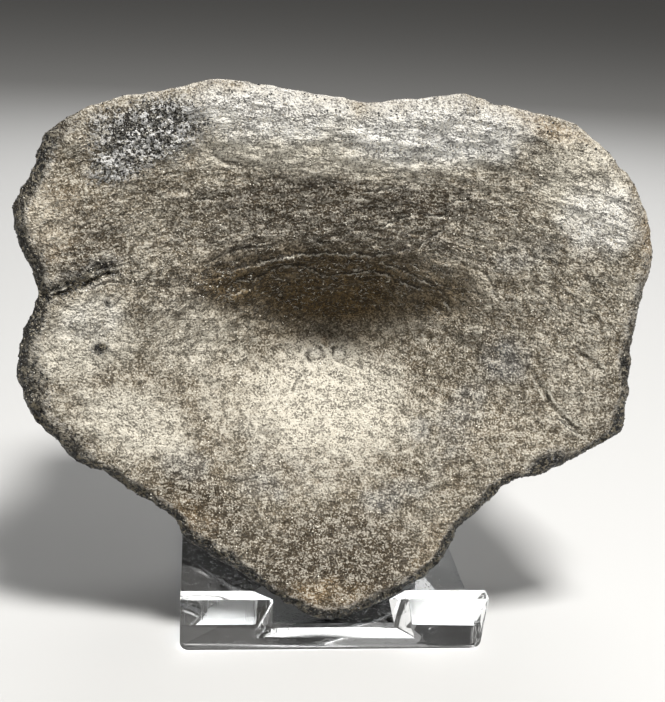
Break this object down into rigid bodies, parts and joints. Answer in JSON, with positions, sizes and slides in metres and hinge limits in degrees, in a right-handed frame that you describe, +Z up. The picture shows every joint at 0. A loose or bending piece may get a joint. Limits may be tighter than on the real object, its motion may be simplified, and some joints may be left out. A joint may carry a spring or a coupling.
{
  "type": "fossil ichthyosaur vertebra on a display stand",
  "caption": "Fossil ichthyosaur neck vertebra, a heart-shaped centrum hollow on both faces, leaning on a low clear acrylic display stand.",
  "frame": {"origin": "middle of the stand's underside, on the surface that it rests on", "axes": "+X to the right as the fossil's front face is looked at, +Y back through the fossil, +Z up"},
  "size_m": [0.1529, 0.092, 0.1359],
  "materials": {
    "fossil_bone": "mineralised bone, fine grained, matt with a slight sheen, pale rims and a dark pit",
    "acrylic_base": "clear polished acrylic sheet",
    "acrylic_front_bar": "clear acrylic, polished edges, a little scuffed",
    "acrylic_back_rest": "clear polished acrylic sheet",
    "acrylic_brace": "clear polished acrylic sheet"
  },
  "bodies": {
    "root": {"vertebra": "fossil_bone", "stand_base": "acrylic_base", "stand_front_bar": "acrylic_front_bar", "stand_back_rest": "acrylic_back_rest", "stand_brace": "acrylic_brace"}
  },
  "joints": []
}
